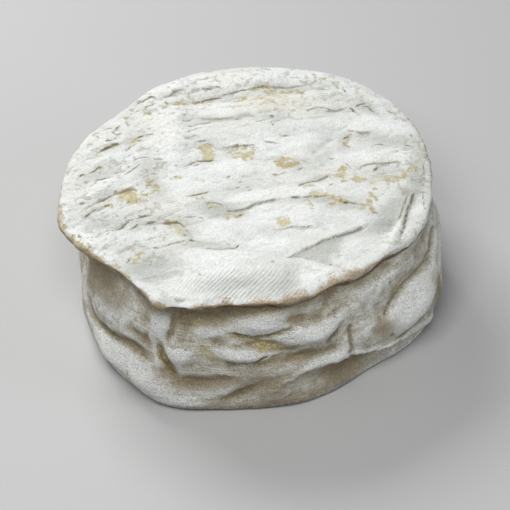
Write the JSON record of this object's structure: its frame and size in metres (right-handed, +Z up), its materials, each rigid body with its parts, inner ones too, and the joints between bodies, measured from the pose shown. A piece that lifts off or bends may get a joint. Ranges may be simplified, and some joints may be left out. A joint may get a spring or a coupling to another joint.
{
  "type": "soft bloomy-rind cheese wheel",
  "caption": "Small uncut wheel of soft white-rinded cheese, a squat disc with a wrinkled top, a drooping rim and a slumped, dented side.",
  "frame": {"origin": "centre of the bounding box at the flat underside", "axes": "+Z up out of the top face, -Y towards the front of the wheel, where the rim has a drooping corner on the left"},
  "size_m": [0.1218, 0.1206, 0.0457],
  "materials": {
    "rind": "dry velvety white bloom over a creamy rind, worn through to ochre in places"
  },
  "bodies": {
    "root": {"cheese_wheel": "rind"}
  },
  "joints": []
}
